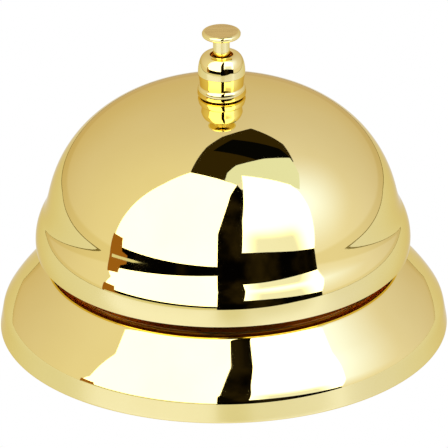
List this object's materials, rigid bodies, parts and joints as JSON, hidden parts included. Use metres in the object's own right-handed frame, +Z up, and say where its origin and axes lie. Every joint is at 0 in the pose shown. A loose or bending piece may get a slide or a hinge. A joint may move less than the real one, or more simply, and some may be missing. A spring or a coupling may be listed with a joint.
{
  "type": "desk call bell",
  "caption": "Polished gold desk call bell: a domed gong on a flared dish base, with a sprung push button that swings an inner hammer against the gong.",
  "frame": {"origin": "centre of the base's underside, on the surface the bell stands on", "axes": "+Z up along the post and the button's stroke, +X towards the hammer"},
  "size_m": [0.085, 0.085, 0.0608],
  "materials": {
    "gold": "mirror polished",
    "steel": "satin",
    "spring_steel": "bright wire",
    "zinc": "zinc plated",
    "turned_brass": "turned",
    "fibre": "matte",
    "felt": "felt",
    "foam": "matte foam"
  },
  "bodies": {
    "base": {"base_shell": "gold", "gong": "gold", "finial_nut": "gold", "bottom_plate": "steel", "bracket": "steel", "bracket_rivet_1": "steel", "bracket_rivet_2": "steel", "bracket_rivet_3": "steel", "bracket_rivet_4": "steel", "gong_post": "steel", "pivot_pin": "steel", "pivot_clip": "spring_steel", "return_spring": "spring_steel", "post_nut": "zinc", "post_lock_washer": "zinc", "pivot_spacer_front": "turned_brass", "pivot_spacer_back": "turned_brass", "gong_seat_washer": "fibre", "hammer_pad": "felt", "base_pad": "foam"},
    "plunger": {"push_button": "gold", "plunger_rod": "steel"},
    "striker": {"striker_lever": "steel", "hammer_head": "turned_brass", "hammer_rivet": "steel"}
  },
  "joints": [
    {"name": "plunger_press", "type": "slide", "parent": "base", "child": "plunger", "axis": [0, 0, -1], "range_m": [0, 0.003], "stiffness_N_per_m": 400, "springref_m": -0.0025, "deforming": ["return_spring"]},
    {"name": "striker_swing", "type": "hinge", "parent": "base", "child": "striker", "pos_m": [0.0075, 0, 0.03], "axis": [0, -1, 0], "range_deg": [0, 22.5]}
  ],
  "couplings": [
    {"joint": "striker_swing", "follows": "plunger_press", "rad_per_m": 130.8}
  ]
}
